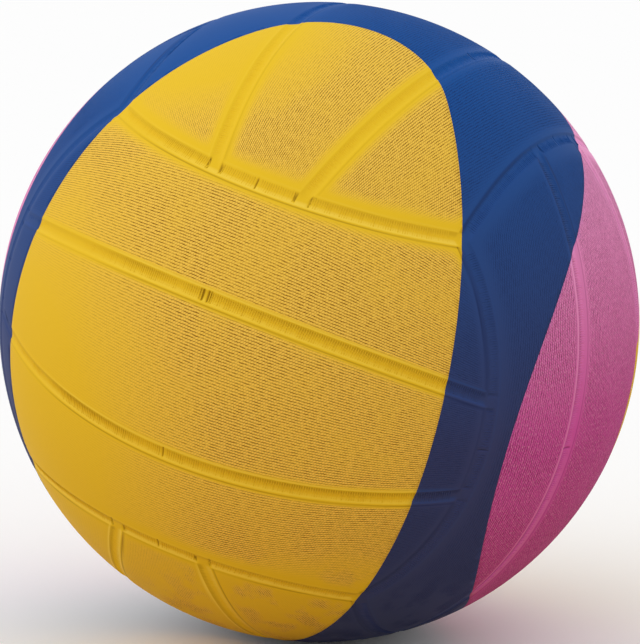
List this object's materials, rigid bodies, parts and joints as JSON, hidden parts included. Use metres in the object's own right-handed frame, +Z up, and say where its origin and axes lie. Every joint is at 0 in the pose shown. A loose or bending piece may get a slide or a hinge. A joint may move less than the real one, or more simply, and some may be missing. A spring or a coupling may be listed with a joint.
{
  "type": "water polo ball",
  "caption": "Inflated rubber water polo ball: coloured cover sheets with moulded strip grooves over a wound carcass and bladder, with a needle valve for inflation.",
  "frame": {"origin": "centre of the ball", "axes": "+Z up as the ball lies in the picture, -Y out of the middle of the front face, +Y out of the valve in the middle of the back face"},
  "size_m": [0.221, 0.2209, 0.221],
  "materials": {
    "yellow_cover": "matte",
    "blue_cover": "matte",
    "pink_cover": "matte",
    "carcass_rubber": "matte",
    "nylon_thread": "matte",
    "butyl": "matte",
    "valve_rubber": "matte"
  },
  "bodies": {
    "ball": {"cover_yellow_front": "yellow_cover", "cover_blue_ring": "blue_cover", "cover_pink_ring": "pink_cover", "cover_yellow_back": "yellow_cover", "rubber_carcass": "carcass_rubber", "nylon_winding": "nylon_thread", "bladder": "butyl", "valve_patch": "butyl", "valve_housing": "valve_rubber"},
    "valve": {"valve_plug": "valve_rubber"}
  },
  "joints": [
    {"name": "plug_pull", "type": "slide", "parent": "ball", "child": "valve", "axis": [0, 1, 0], "range_m": [0, 0.022]}
  ]
}
